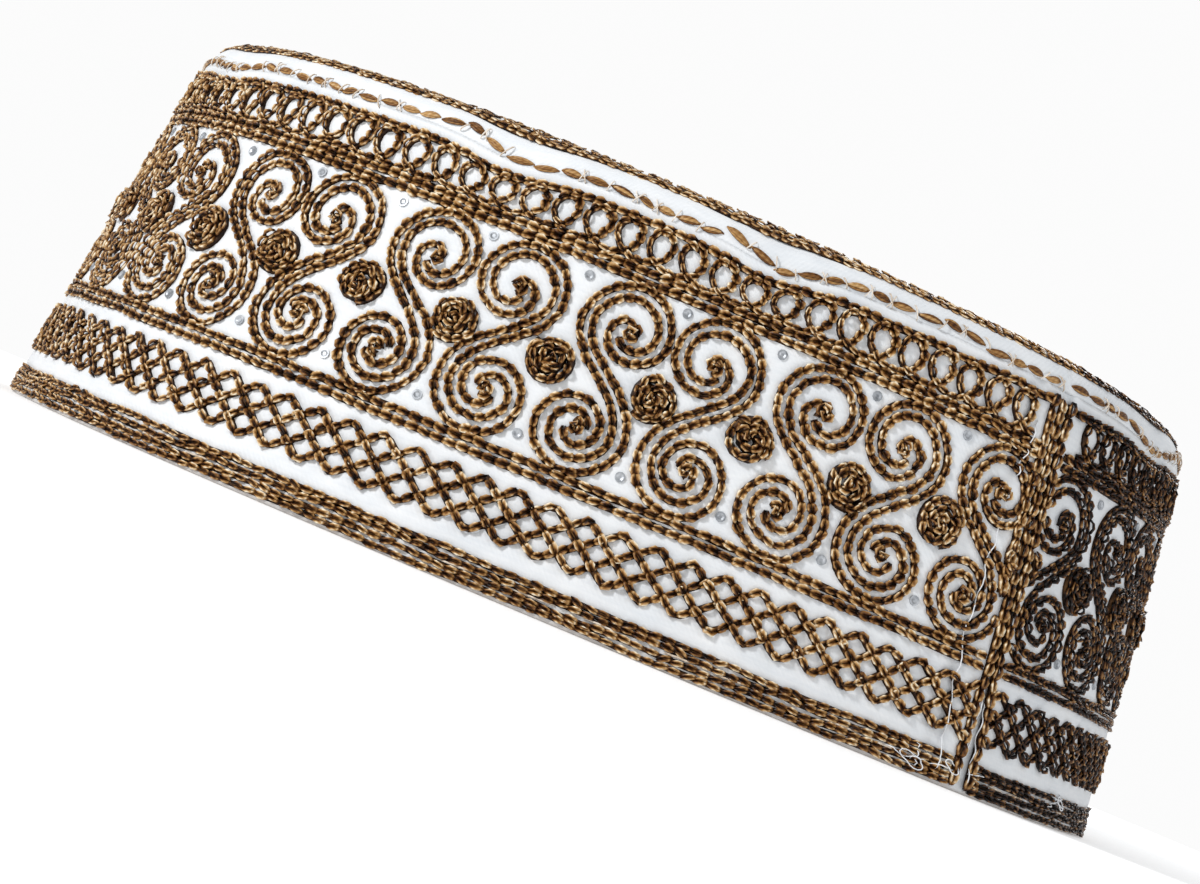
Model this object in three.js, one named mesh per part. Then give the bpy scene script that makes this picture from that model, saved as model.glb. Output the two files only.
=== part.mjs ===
// A kufi: a low, round, brimless cap of stiffened white cloth.
// An upright band runs round the head, a slightly domed crown closes it at the top,
// and the foot of the band is turned up inside as a soft hem.
//
// Millimetres, +Z up. The cap stands on its rim, crown up, with its origin at the middle
// of its footprint. +X is the long way of the oval, and the joining seam is towards -Y.

import * as THREE from "three";

// Driving sizes of the oval band, measured over its outside.
const rimLength = 196;
const rimDepth = 174;
const bandHeight = 62.5;
// The band leans in by this much all round between the rim and its top edge.
const bandTaper = 8;
// The oval is a little squarer than an ellipse, whose power is 2.
const ovalPower = 2.3;
const bandWall = 2;

// The upright joining seam, where the two ends of the band meet.
const seamAngle = -50;
const seamGrooveWidth = 3.2;
const seamGrooveDepth = 0.7;

// The crown: a disc with a rounded edge and a shallow dome.
const crownWall = 2;
const shoulderRadius = 4.5;
const domeRise = 3.2;

// The hem that is turned up inside the rim.
const hemHeight = 5.4;
const hemThickness = 1.9;
const hemLipRadius = 0.8;

// Pieces that are sewn together keep this hair of air between them.
const sewnGap = 0.3;

// How finely the curves are cut.
const stepsRound = 108;
const seamSteps = 4;
const wallRows = 8;
const shoulderSteps = 5;
const domeSteps = 5;

const cloth = {
  outside: { color: 0xf3f6f8, roughness: 0.85, metalness: 0 },
  hem: { color: 0x4a4240, roughness: 0.95, metalness: 0 },
};

// Soft bends of the wall: where the oval turns more sharply or flattens.
// push is a share of the band's wall, and spread is in degrees to each side.
const wallBends = [
  { angle: seamAngle, push: 0.75, spread: 9, rim: 1, top: 0.6 },
  { angle: -168, push: 0.6, spread: 12, rim: 1, top: 0.4 },
  { angle: -108, push: -0.5, spread: 24, rim: 0.6, top: 1 },
  { angle: -20, push: -0.6, spread: 14, rim: 1, top: 0.5 },
  { angle: 62, push: 0.5, spread: 20, rim: 0.5, top: 1 },
  { angle: 128, push: -0.5, spread: 22, rim: 1, top: 0.7 },
];

// Puckers of the top edge, where the crown was gathered in a little.
// drop is a share of the shoulder's radius, and spread is in degrees to each side.
const topPuckers = [
  { angle: -106, drop: 0.3, spread: 4.5 },
  { angle: -84, drop: 0.36, spread: 4 },
  { angle: -30, drop: 0.2, spread: 5 },
  { angle: 24, drop: 0.26, spread: 5 },
  { angle: 71, drop: 0.3, spread: 4.5 },
  { angle: 118, drop: 0.22, spread: 6 },
  { angle: 163, drop: 0.28, spread: 5 },
  { angle: -150, drop: 0.2, spread: 6 },
];

const degrees = Math.PI / 180;

// A smooth bump of height 1 at its middle, which has died away at two spreads.
function bump(angle, middle, spread) {
  const turn = ((((angle - middle) % 360) + 540) % 360) - 180;
  return Math.exp(-((turn / spread) ** 2));
}

function puckerDrop(angle) {
  let drop = 0;
  for (const pucker of topPuckers) {
    drop += pucker.drop * shoulderRadius * bump(angle, pucker.angle, pucker.spread);
  }
  return drop;
}

function bendPush(angle, share) {
  let push = 0;
  for (const bend of wallBends) {
    const strength = bend.rim + (bend.top - bend.rim) * share;
    push += bend.push * bandWall * strength * bump(angle, bend.angle, bend.spread);
  }
  return push;
}

// A point of the oval, this far in from the rim's outside, at a share of the band's height.
function ovalPoint(angle, inset, share, grow = 1) {
  const turn = angle * degrees;
  const power = 2 / ovalPower;
  const cosine = Math.cos(turn);
  const sine = Math.sin(turn);
  const x = Math.sign(cosine) * Math.abs(cosine) ** power * (rimLength / 2 - inset);
  const y = Math.sign(sine) * Math.abs(sine) ** power * (rimDepth / 2 - inset);
  const push = bendPush(angle, share);
  const reach = Math.hypot(x, y);
  const stretch = grow * (1 + push / reach);
  return [x * stretch, y * stretch];
}

function taperAt(height) {
  return (bandTaper * height) / bandHeight;
}

// The groove of the joining seam is only cut into the outer face.
function seamGroove(angle) {
  const arc = (((((angle - seamAngle) % 360) + 540) % 360) - 180) * degrees * (rimLength / 2);
  const share = Math.min(1, Math.abs(arc) / (seamGrooveWidth / 2));
  return seamGrooveDepth * (1 - share * share);
}

// Even steps round the oval, with finer ones across the joining seam.
function anglesRound() {
  const half = seamGrooveWidth / 2 / (rimLength / 2) / degrees;
  const fine = [];
  for (let step = -seamSteps; step <= seamSteps; step += 1) {
    fine.push(seamAngle + (half * step) / seamSteps);
  }
  const first = fine[fine.length - 1];
  const open = 360 - 2 * half;
  const coarse = [];
  for (let step = 1; step < stepsRound; step += 1) {
    coarse.push(first + (open * step) / stepsRound);
  }
  return [...fine, ...coarse];
}

// Joins closed sections, one for each angle, into a solid ring.
function ringSolid(sectionAt) {
  const sections = anglesRound().map(sectionAt);
  const count = sections[0].length;
  const positions = sections.flat(2);
  const index = [];
  sections.forEach((section, place) => {
    const here = place * count;
    const next = ((place + 1) % sections.length) * count;
    for (let corner = 0; corner < count; corner += 1) {
      const after = (corner + 1) % count;
      index.push(here + corner, next + corner, next + after);
      index.push(here + corner, next + after, here + after);
    }
  });
  return solidFrom(positions, index);
}

// Joins open sections that run from the lower pole of the middle line to the upper one.
function cappedSolid(sectionAt, firstPole, lastPole) {
  const sections = anglesRound().map(sectionAt);
  const count = sections[0].length;
  const positions = [...sections.flat(2), ...firstPole, ...lastPole];
  const first = sections.length * count;
  const last = first + 1;
  const index = [];
  sections.forEach((section, place) => {
    const here = place * count;
    const next = ((place + 1) % sections.length) * count;
    index.push(first, next, here);
    for (let corner = 0; corner < count - 1; corner += 1) {
      index.push(here + corner, next + corner, next + corner + 1);
      index.push(here + corner, next + corner + 1, here + corner + 1);
    }
    index.push(last, here + count - 1, next + count - 1);
  });
  return solidFrom(positions, index);
}

function solidFrom(positions, index) {
  const geometry = new THREE.BufferGeometry();
  geometry.setAttribute("position", new THREE.Float32BufferAttribute(positions, 3));
  geometry.setIndex(index);
  geometry.computeVertexNormals();
  return geometry;
}

// The band: up the outer face, over the puckered top edge and down the inner face.
function bandSection(angle) {
  const top = bandHeight - puckerDrop(angle);
  const section = [];
  for (let row = 0; row <= wallRows; row += 1) {
    const share = row / wallRows;
    const height = top * share;
    const inset = taperAt(height) + seamGroove(angle);
    section.push([...ovalPoint(angle, inset, share), height]);
  }
  for (let row = wallRows; row >= 0; row -= 1) {
    const share = row / wallRows;
    const height = top * share;
    section.push([...ovalPoint(angle, taperAt(height) + bandWall, share), height]);
  }
  return section;
}

// The crown: out under the dome, round the edge of the shoulder and back over the top.
function crownSection(angle) {
  const seat = bandHeight + sewnGap - puckerDrop(angle);
  const rise = bandHeight + sewnGap + shoulderRadius;
  const section = [];
  const domePoint = (share, drop) => {
    const plan = ovalPoint(angle, bandTaper + shoulderRadius, 1, share);
    return [...plan, rise + domeRise * (1 - share * share) - drop];
  };
  const shoulderPoint = (turn, radius) => {
    const inset = bandTaper + shoulderRadius - radius * Math.cos(turn);
    const lift = (radius / shoulderRadius) * Math.sin(turn);
    return [...ovalPoint(angle, inset, 1), seat + (rise - seat) * lift];
  };
  for (let step = 1; step < domeSteps; step += 1) {
    section.push(domePoint(step / domeSteps, crownWall));
  }
  for (let step = shoulderSteps; step >= 0; step -= 1) {
    const radius = shoulderRadius - crownWall;
    section.push(shoulderPoint((step / shoulderSteps) * 90 * degrees, radius));
  }
  for (let step = 0; step <= shoulderSteps; step += 1) {
    section.push(shoulderPoint((step / shoulderSteps) * 90 * degrees, shoulderRadius));
  }
  for (let step = domeSteps - 1; step >= 1; step -= 1) {
    section.push(domePoint(step / domeSteps, 0));
  }
  return section;
}

// The hem follows the inner face of the band, with a rounded lip at its upper edge.
function hemSection(angle) {
  const corners = [
    { depth: 0, height: 0 },
    { depth: 0, height: hemHeight - hemLipRadius },
    { depth: hemThickness * 0.3, height: hemHeight },
    { depth: hemThickness * 0.7, height: hemHeight },
    { depth: hemThickness, height: hemHeight - hemLipRadius },
    { depth: hemThickness, height: hemLipRadius },
    { depth: hemThickness - hemLipRadius, height: 0 },
  ];
  return corners.map(({ depth, height }) => {
    const inset = taperAt(height) + bandWall + sewnGap + depth;
    return [...ovalPoint(angle, inset, height / bandHeight), height];
  });
}

function piece(name, geometry, finish) {
  const mesh = new THREE.Mesh(geometry, new THREE.MeshStandardMaterial(finish));
  mesh.name = name;
  return mesh;
}

const crownPeak = bandHeight + sewnGap + shoulderRadius + domeRise;

const kufi = new THREE.Group();
kufi.name = "kufi";
kufi.add(piece("band", ringSolid(bandSection), cloth.outside));
kufi.add(
  piece(
    "crown",
    cappedSolid(crownSection, [0, 0, crownPeak - crownWall], [0, 0, crownPeak]),
    cloth.outside,
  ),
);
kufi.add(piece("rim_hem", ringSolid(hemSection), cloth.hem));

export default kufi;
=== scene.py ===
# %% [markdown]
# # An embroidered kufi
# A kufi is a low round cap without a brim. This one is stiffened white cotton sateen, with
# chain-stitch embroidery in golden brown rayon thread. The solids of the band, the crown and the
# hem are loaded first and never changed. Every piece made here lies on them, so the whole script
# works in the flat: patterns are drawn as if the band were still a strip on the table, in
# millimetres along and up, and one map then wraps them round the cap.

# %% Load the solids
import math

import bpy
import numpy as np
from mathutils import Matrix, Vector
from mathutils.bvhtree import BVHTree
from mathutils.kdtree import KDTree


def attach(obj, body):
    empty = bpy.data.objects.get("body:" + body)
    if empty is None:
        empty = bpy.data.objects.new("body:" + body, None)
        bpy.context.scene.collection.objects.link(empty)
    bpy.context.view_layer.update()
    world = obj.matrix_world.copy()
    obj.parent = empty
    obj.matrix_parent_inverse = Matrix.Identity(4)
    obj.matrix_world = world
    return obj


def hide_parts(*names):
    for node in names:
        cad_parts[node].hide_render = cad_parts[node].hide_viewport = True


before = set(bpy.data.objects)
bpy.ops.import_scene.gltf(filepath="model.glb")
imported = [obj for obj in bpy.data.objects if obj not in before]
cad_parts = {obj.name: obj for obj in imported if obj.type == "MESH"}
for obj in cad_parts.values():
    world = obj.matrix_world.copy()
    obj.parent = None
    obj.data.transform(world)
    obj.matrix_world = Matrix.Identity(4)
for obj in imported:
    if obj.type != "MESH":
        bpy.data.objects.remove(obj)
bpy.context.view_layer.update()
bpy.ops.object.select_all(action="DESELECT")
mm = 0.001
dice = np.random.default_rng(7)
print("solids:", ", ".join(sorted(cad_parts)))

# %% [markdown]
# ## Camera
# The photograph looks up at the cap from the front with the camera rolled over, so the cap's
# axis leans to the right in the picture. Here the cap stands on a floor, so the camera goes as
# low as the floor allows and keeps the roll. A long lens keeps the perspective gentle.

# %% Set the camera
camera_azimuth = math.radians(1.5)
camera_elevation = math.radians(-3.0)
camera_roll = math.radians(22.7)
camera_distance = 495 * mm
camera_lens_mm = 85.0
cap_middle = Vector((0, 0, 35.2 * mm))
frame_offset = Vector((-5.0 * mm, -2.6 * mm))


def place_camera():
    level = math.cos(camera_elevation)
    back = Vector((
        math.sin(camera_azimuth) * level,
        -math.cos(camera_azimuth) * level,
        math.sin(camera_elevation),
    ))
    right = Vector((math.cos(camera_azimuth), math.sin(camera_azimuth), 0))
    up = back.cross(right)
    turned_right = right * math.cos(camera_roll) + up * math.sin(camera_roll)
    turned_up = up * math.cos(camera_roll) - right * math.sin(camera_roll)
    aim = cap_middle + turned_right * frame_offset.x + turned_up * frame_offset.y
    data = bpy.data.cameras.new("camera")
    camera = bpy.data.objects.new("camera", data)
    bpy.context.scene.collection.objects.link(camera)
    spot = cap_middle + back * camera_distance
    toward = (aim - spot).normalized()
    side = toward.cross(turned_up).normalized()
    top = side.cross(toward)
    camera.matrix_world = Matrix((
        (side.x, top.x, -toward.x, spot.x),
        (side.y, top.y, -toward.y, spot.y),
        (side.z, top.z, -toward.z, spot.z),
        (0, 0, 0, 1),
    ))
    data.lens = camera_lens_mm
    data.clip_start = 0.01
    data.clip_end = 50
    bpy.context.scene.camera = camera
    return camera


camera = place_camera()
print("camera height in mm:", round(camera.matrix_world.translation.z / mm, 1))

# %% [markdown]
# ## A map of the cap's outside
# Rays find where the solids are: level ones for the band, ones towards the edge for the rounded
# shoulder. The hits are smoothed round the cap, so its flat facets turn into one even wall, and
# the narrow groove of the joining seam is left out, because the cloth gets its own later.

# %% Feel the wall with rays
angle_count = 720
angles = np.radians(np.arange(angle_count) * 360.0 / angle_count)
seam_angle = math.radians(-45.8)
wall_rows = np.concatenate([[0.6], np.arange(3.0, 60.1, 3.0)])
shoulder_elevations = np.radians(np.array([14, 24, 34, 44, 54, 64, 74, 82, 90.0]))
shoulder_focus_inset = 7.0
shoulder_focus_height = 61.5
shoulder_reach = 40.0
wall_reach = 140.0
top_probe_inset = 1.2
top_probe_height = 62.6
peak_probe = (0.01, 0.013, 150)


def tree_of(names):
    points = []
    faces = []
    for name in names:
        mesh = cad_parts[name].data
        first = len(points)
        points.extend(vertex.co.copy() for vertex in mesh.vertices)
        faces.extend([first + i for i in polygon.vertices] for polygon in mesh.polygons)
    return BVHTree.FromPolygons(points, faces)


def hit_from(tree, start, direction):
    spot = tree.ray_cast(Vector(start) * mm, Vector(direction))[0]
    return np.array(spot) / mm


def smooth_round(table, spread):
    reach = int(spread * 4)
    weights = np.exp(-0.5 * (np.arange(-reach, reach + 1) / spread) ** 2)
    weights /= weights.sum()
    result = np.zeros_like(table)
    for step, weight in zip(range(-reach, reach + 1), weights):
        result += weight * np.roll(table, step, axis=0)
    return result


def bridge_seam(table, half_width):
    turn = (angles - seam_angle + math.pi) % (2 * math.pi) - math.pi
    keep = np.abs(turn) > half_width
    order = np.argsort(turn[keep])
    known = turn[keep][order]
    result = table.copy()
    for column in range(table.shape[1]):
        values = table[keep, column][order]
        result[~keep, column] = np.interp(turn[~keep], known, values)
    return result


whole = tree_of(["band", "crown"])
band_alone = tree_of(["band"])
radii = np.zeros((angle_count, len(wall_rows)))
shoulder_radii = np.zeros((angle_count, len(shoulder_elevations)))
shoulder_heights = np.zeros((angle_count, len(shoulder_elevations)))
band_top = np.zeros((angle_count, 1))
for place, angle in enumerate(angles):
    out = np.array([math.cos(angle), math.sin(angle), 0.0])
    for row, height in enumerate(wall_rows):
        start = out * wall_reach + np.array([0, 0, height])
        radii[place, row] = np.linalg.norm(hit_from(whole, start, -out)[:2])
    focus_reach = radii[place, -1] - shoulder_focus_inset
    focus = out * focus_reach + np.array([0, 0, shoulder_focus_height])
    for row, rise in enumerate(shoulder_elevations):
        way = out * math.cos(rise) + np.array([0, 0, math.sin(rise)])
        spot = hit_from(whole, focus + way * shoulder_reach, -way)
        shoulder_radii[place, row] = np.linalg.norm(spot[:2])
        shoulder_heights[place, row] = spot[2]
    start = out * (radii[place, -1] - top_probe_inset) + np.array([0, 0, top_probe_height])
    band_top[place, 0] = hit_from(band_alone, start, (0, 0, -1))[2]

crown_peak = hit_from(whole, peak_probe, (0, 0, -1))[2]
seam_half = math.radians(2.2)
wall_spread = 3
top_spread = 2
radii = smooth_round(bridge_seam(radii, seam_half), wall_spread)
shoulder_radii = smooth_round(bridge_seam(shoulder_radii, seam_half), wall_spread)
shoulder_heights = smooth_round(bridge_seam(shoulder_heights, seam_half), wall_spread)
band_top = smooth_round(bridge_seam(band_top, seam_half), top_spread)[:, 0]
print("band tops from", band_top.min().round(2), "to", band_top.max().round(2), "mm")

# %% [markdown]
# ## From flat to round
# The map has one row of points for each height on the cloth. Up to 60 mm the height is the
# height above the rim, and past that it is measured along the cloth, over the shoulder.
# `on_cap` takes millimetres along the band, counted from the seam, millimetres up, and how far
# off the cloth a point lies, and gives the point in space.

# %% Build the map
height_step = 0.75
map_foot = -1.5
map_head = 72.1
map_heights = np.arange(map_foot, map_head, height_step)
middle_height = 31.0
full_top = 62.5
deepest_pucker = 3.0


def resample_profiles():
    below = wall_rows[0] - map_foot
    apart = wall_rows[1] - wall_rows[0]
    base = radii[:, :1] - (radii[:, 1:2] - radii[:, :1]) * below / apart
    reach = np.concatenate([base, radii, shoulder_radii], axis=1)
    heights = np.concatenate([
        np.full((angle_count, 1), map_foot),
        np.tile(wall_rows, (angle_count, 1)),
        shoulder_heights,
    ], axis=1)
    points = np.zeros((angle_count, len(map_heights), 3))
    for place in range(angle_count):
        steps = np.hypot(np.diff(reach[place]), np.diff(heights[place]))
        along = np.concatenate([[0], np.cumsum(steps)])
        last_row = len(wall_rows)
        along = np.where(
            np.arange(len(along)) <= last_row,
            heights[place],
            along - along[last_row] + heights[place, last_row],
        )
        radius = np.interp(map_heights, along, reach[place])
        points[place, :, 0] = radius * math.cos(angles[place])
        points[place, :, 1] = radius * math.sin(angles[place])
        points[place, :, 2] = np.interp(map_heights, along, heights[place])
    return points


def soften_up(points):
    inner = (points[:, :-2] + 2 * points[:, 1:-1] + points[:, 2:]) / 4
    return np.concatenate([points[:, :1], inner, points[:, -1:]], axis=1)


map_points = soften_up(soften_up(resample_profiles()))
round_way = np.roll(map_points, -1, axis=0) - np.roll(map_points, 1, axis=0)
upward_way = np.gradient(map_points, axis=1)
map_normals = np.cross(round_way, upward_way)
map_normals /= np.linalg.norm(map_normals, axis=2, keepdims=True)

middle_row = int(round((middle_height - map_foot) / height_step))
middle_line = map_points[:, middle_row, :2]
middle_steps = np.linalg.norm(np.roll(middle_line, -1, axis=0) - middle_line, axis=1)
arc_at_angle = np.concatenate([[0], np.cumsum(middle_steps)])
girth = arc_at_angle[-1]
seam_place = (seam_angle / (2 * math.pi) * angle_count) % angle_count
seam_arc = np.interp(seam_place, np.arange(angle_count + 1), arc_at_angle)


def place_of(along):
    arc = (np.asarray(along) + seam_arc) % girth
    return np.interp(arc, arc_at_angle, np.arange(angle_count + 1))


def look_up(table, place, row):
    first = np.floor(place).astype(int)
    share = (place - first)[..., None]
    low = np.clip(np.floor(row).astype(int), 0, table.shape[1] - 2)
    rise = np.clip(row - low, 0, 1)[..., None]
    here = first % angle_count
    after = (first + 1) % angle_count
    lower = table[here, low] * (1 - share) + table[after, low] * share
    upper = table[here, low + 1] * (1 - share) + table[after, low + 1] * share
    return lower * (1 - rise) + upper * rise


def on_cap(along, height, lift):
    place = place_of(along)
    row = (np.asarray(height, float) - map_foot) / height_step
    spots = look_up(map_points, place, row)
    outward = look_up(map_normals, place, row)
    return spots + outward * np.asarray(lift, float)[..., None]


def pucker_at(along):
    drop = full_top - band_top
    wrapped = np.append(drop, drop[0])
    dip = np.interp(place_of(along), np.arange(angle_count + 1), wrapped)
    return np.clip(dip, 0, deepest_pucker)


def soft_step(value):
    share = np.clip(value, 0, 1)
    return share * share * (3 - 2 * share)


def from_seam(along):
    return (np.asarray(along) + girth / 2) % girth - girth / 2


print("girth at mid height in mm:", round(girth, 1))

# %% [markdown]
# ## Small helpers
# Meshes are filled from arrays, because the stitches count in the thousands. Each mesh carries
# three values that its material reads: a shading value, which is painted shade and highlight
# (on a thread lighter high up and darker low down, on the cloth darker near the stitches), `tint`,
# a chance value for each stitch, which right of the seam also carries painted shade, and `grain`,
# a place in millimetres along and across.

# %% Make a mesh from arrays


def mesh_piece(name, points_mm, faces, painted_shading=None, tint=None, grain=None, smooth=True):
    faces = np.asarray(faces, np.int32)
    mesh = bpy.data.meshes.new(name)
    mesh.vertices.add(len(points_mm))
    mesh.vertices.foreach_set("co", (np.asarray(points_mm) * mm).astype(np.float32).ravel())
    corners = faces.shape[1]
    mesh.loops.add(faces.size)
    mesh.loops.foreach_set("vertex_index", faces.ravel())
    mesh.polygons.add(len(faces))
    mesh.polygons.foreach_set("loop_start", np.arange(0, faces.size, corners, dtype=np.int32))
    mesh.update(calc_edges=True)
    mesh.polygons.foreach_set("use_smooth", np.full(len(faces), smooth))
    dress(mesh, painted_shading, tint, grain)
    piece = bpy.data.objects.new(name, mesh)
    bpy.context.scene.collection.objects.link(piece)
    return piece


def dress(mesh, painted_shading=None, tint=None, grain=None):
    for title, values in (("painted_shading", painted_shading), ("tint", tint)):
        if values is not None:
            layer = mesh.attributes.new(title, "FLOAT", "POINT")
            layer.data.foreach_set("value", np.asarray(values, np.float32).ravel())
    if grain is not None:
        corner_points = np.zeros(len(mesh.loops), np.int32)
        mesh.loops.foreach_get("vertex_index", corner_points)
        layer = mesh.uv_layers.new(name="grain")
        layer.data.foreach_set("uv", grain[corner_points].astype(np.float32).ravel())


# Each part is its points, faces, painted shading, tint and grain. Its faces count from its own
# first point.
def joined_piece(name, parts, material):
    firsts = np.cumsum([0] + [len(part[0]) for part in parts[:-1]])
    faces = np.concatenate([part[1] + first for part, first in zip(parts, firsts)])
    points, painted_shading, tint, grain = (
        np.concatenate([part[column] for part in parts]) for column in (0, 2, 3, 4)
    )
    piece = mesh_piece(name, points, faces, painted_shading, tint, grain)
    finish_piece(piece, material)


def tube_faces(count, sides):
    here = np.arange(count - 1)[:, None] * sides + np.arange(sides)[None]
    after = np.arange(count - 1)[:, None] * sides + (np.arange(sides)[None] + 1) % sides
    return np.stack([here, after, after + sides, here + sides], axis=-1)


def finish_piece(piece, material, replaced=()):
    piece.data.materials.clear()
    piece.data.materials.append(material)
    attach(piece, "root")
    if replaced:
        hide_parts(*replaced)
    piece.data.calc_loop_triangles()
    print(piece.name, "-", len(piece.data.loop_triangles), "triangles")


# %% Colours and nodes


def colour(hex_code):
    values = [int(hex_code[i:i + 2], 16) / 255 for i in (0, 2, 4)]
    linear = [v / 12.92 if v <= 0.04045 else ((v + 0.055) / 1.055) ** 2.4 for v in values]
    return (*linear, 1.0)


def add_node(tree, kind, values=None, links=None, stops=(), **settings):
    node = tree.nodes.new(kind)
    for title, value in settings.items():
        setattr(node, title, value)
    for socket, value in (values or {}).items():
        node.inputs[socket].default_value = value
    for socket, source in (links or {}).items():
        tree.links.new(source, node.inputs[socket])
    # A colour ramp starts out with two points, and the others are added.
    for number, (place, hex_code) in enumerate(stops):
        points = node.color_ramp.elements
        point = points[number] if number < 2 else points.new(place)
        point.position = place
        point.color = colour(hex_code)
    return node


def start_material(name, roughness, sheen=0.0, metallic=0.0):
    material = bpy.data.materials.new(name)
    material.use_nodes = True
    tree = material.node_tree
    shader = tree.nodes["Principled BSDF"]
    shader.inputs["Roughness"].default_value = roughness
    shader.inputs["Sheen Weight"].default_value = sheen
    shader.inputs["Metallic"].default_value = metallic
    return material, tree, shader


# %% [markdown]
# ## Cloth
# The outside is cotton sateen: long floats of thread give it a faint satin shine, and the
# stitches pull it down, so it puffs up softly between them. Near the stitches its colour is
# greyed with painted shade. Sateen threads are about 0.15 mm apart, too fine to show here, so the
# weave is drawn at 0.45 mm. The wrong side is a mauve-grey backing, and the hem is the same
# backing, matted dark by the ends of the under-thread.

# %% Make the cloth materials
# A wave of scale 1 repeats after 0.314 units, so this number over a pitch in mm is its scale.
wave_length = 0.314
slub_share = 0.35
patch_share = 0.65
warp_share = 0.5
# painted shade: the grey the cloth is given near the stitches and along its foot
stitch_shade_colour = "b3aaa3"


def woven_material(name, light_hex, dark_hex, roughness, pitch_mm, depth_mm, sheen):
    material, tree, shader = start_material(name, roughness, sheen)
    shader.inputs["Sheen Roughness"].default_value = 0.5
    grain = add_node(tree, "ShaderNodeUVMap", uv_map="grain").outputs["UV"]
    warp = add_node(
        tree, "ShaderNodeTexWave", {"Scale": wave_length / pitch_mm, "Distortion": 0.6,
        "Detail": 1.0, "Detail Scale": 2.0}, {"Vector": grain}, bands_direction="DIAGONAL",
    ).outputs["Fac"]
    patches = add_node(
        tree, "ShaderNodeTexNoise", {"Scale": 0.09, "Detail": 4.0}, {"Vector": grain},
    ).outputs["Fac"]
    slubs_place = add_node(
        tree, "ShaderNodeMapping", {"Scale": (0.35, 2.4, 1.0)}, {"Vector": grain},
    ).outputs["Vector"]
    slubs = add_node(
        tree, "ShaderNodeTexNoise", {"Scale": 0.8, "Detail": 3.0}, {"Vector": slubs_place},
    ).outputs["Fac"]
    shade = add_node(
        tree, "ShaderNodeMath", {1: slub_share}, {0: slubs}, operation="MULTIPLY",
    ).outputs["Value"]
    shade = add_node(
        tree, "ShaderNodeMath", {1: patch_share}, {0: patches, 2: shade},
        operation="MULTIPLY_ADD",
    ).outputs["Value"]
    cloth = add_node(
        tree, "ShaderNodeValToRGB", links={"Fac": shade},
        stops=[(0.25, dark_hex), (0.6, light_hex)],
    ).outputs["Color"]
    # painted shade near the stitches, read from the mesh, mixes the cloth towards that grey
    stitched = add_node(
        tree, "ShaderNodeAttribute", attribute_name="painted_shading",
    ).outputs["Fac"]
    under = add_node(
        tree, "ShaderNodeMix", {7: colour(stitch_shade_colour)}, {0: stitched, 6: cloth},
        data_type="RGBA",
    ).outputs[2]
    tree.links.new(under, shader.inputs["Base Color"])
    relief = add_node(
        tree, "ShaderNodeMath", {1: warp_share}, {0: slubs, 2: warp}, operation="MULTIPLY_ADD",
    ).outputs["Value"]
    bump = add_node(
        tree, "ShaderNodeBump", {"Strength": 0.35, "Distance": depth_mm * mm},
        {"Height": relief},
    ).outputs["Normal"]
    tree.links.new(bump, shader.inputs["Normal"])
    return material


white_sateen = woven_material("white_cotton_sateen", "e6e8ea", "d3d8dd", 0.55, 0.45, 0.05, 0.15)
grey_backing = woven_material("grey_cotton_backing", "b8aeb0", "958c8e", 0.9, 0.6, 0.08, 0.1)
hem_felt = woven_material("matted_hem_cloth", "473e3b", "120d0b", 0.95, 0.7, 0.35, 0.2)

# %% [markdown]
# ## Thread
# The outer thread is two-ply rayon, golden brown and glossy. Its colour is painted shade and
# highlight: pale gold on its crests, almost black where one loop dives under the next. Each stitch
# has its own tint. The ply twist, 0.25 mm on the real thread, is drawn at 0.5 mm. The under-thread
# is a dull dark brown.

# %% Make the thread materials
thread_gloss = 0.24
tint_share = 0.45
fleck_share = 0.35
twist_share = 0.12
full_shade = 1 + tint_share + fleck_share + twist_share


def thread_material(name, stops, roughness, twist_mm, twist_depth_mm):
    material, tree, shader = start_material(name, roughness)
    shader.inputs["Specular IOR Level"].default_value = thread_gloss
    # painted shade and highlight, read from the mesh
    painted_shading = add_node(tree, "ShaderNodeAttribute", attribute_name="painted_shading").outputs["Fac"]
    tint = add_node(tree, "ShaderNodeAttribute", attribute_name="tint").outputs["Fac"]
    grain = add_node(tree, "ShaderNodeUVMap", uv_map="grain").outputs["UV"]
    twist = add_node(
        tree, "ShaderNodeTexWave", {"Scale": wave_length / twist_mm, "Distortion": 0.4},
        {"Vector": grain}, bands_direction="DIAGONAL",
    ).outputs["Fac"]
    fleck = add_node(
        tree, "ShaderNodeTexNoise", {"Scale": 1.3, "Detail": 3.0}, {"Vector": grain},
    ).outputs["Fac"]
    shade = painted_shading
    for share, source in ((tint_share, tint), (fleck_share, fleck), (twist_share, twist)):
        shade = add_node(
            tree, "ShaderNodeMath", {1: share}, {0: source, 2: shade}, operation="MULTIPLY_ADD",
        ).outputs["Value"]
    shade = add_node(
        tree, "ShaderNodeMath", {1: full_shade}, {0: shade}, operation="DIVIDE",
    ).outputs["Value"]
    dyed = add_node(
        tree, "ShaderNodeValToRGB", links={"Fac": shade}, stops=stops,
    ).outputs["Color"]
    tree.links.new(dyed, shader.inputs["Base Color"])
    bump = add_node(
        tree, "ShaderNodeBump", {"Strength": 0.5, "Distance": twist_depth_mm * mm},
        {"Height": twist},
    ).outputs["Normal"]
    tree.links.new(bump, shader.inputs["Normal"])
    return material


# Each ramp runs from painted shade at its low end to painted highlight at its high end.
gold_stops = [
    (0.17, "080201"), (0.34, "3c1e09"), (0.48, "7f5529"), (0.62, "bd945e"), (0.78, "fbeed2"),
]
dark_stops = [(0.1, "0a0504"), (0.5, "1a100c"), (0.8, "34261e"), (1.0, "4e3e32")]
tan_stops = [(0.1, "0a0504"), (0.42, "1c110d"), (0.6, "59432d"), (0.85, "866a4a")]
white_stops = [(0.1, "c9ccd2"), (0.6, "f4f6f8")]
cream_stops = [(0.1, "8d7660"), (0.35, "cdbba6"), (0.6, "efe6da")]
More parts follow.
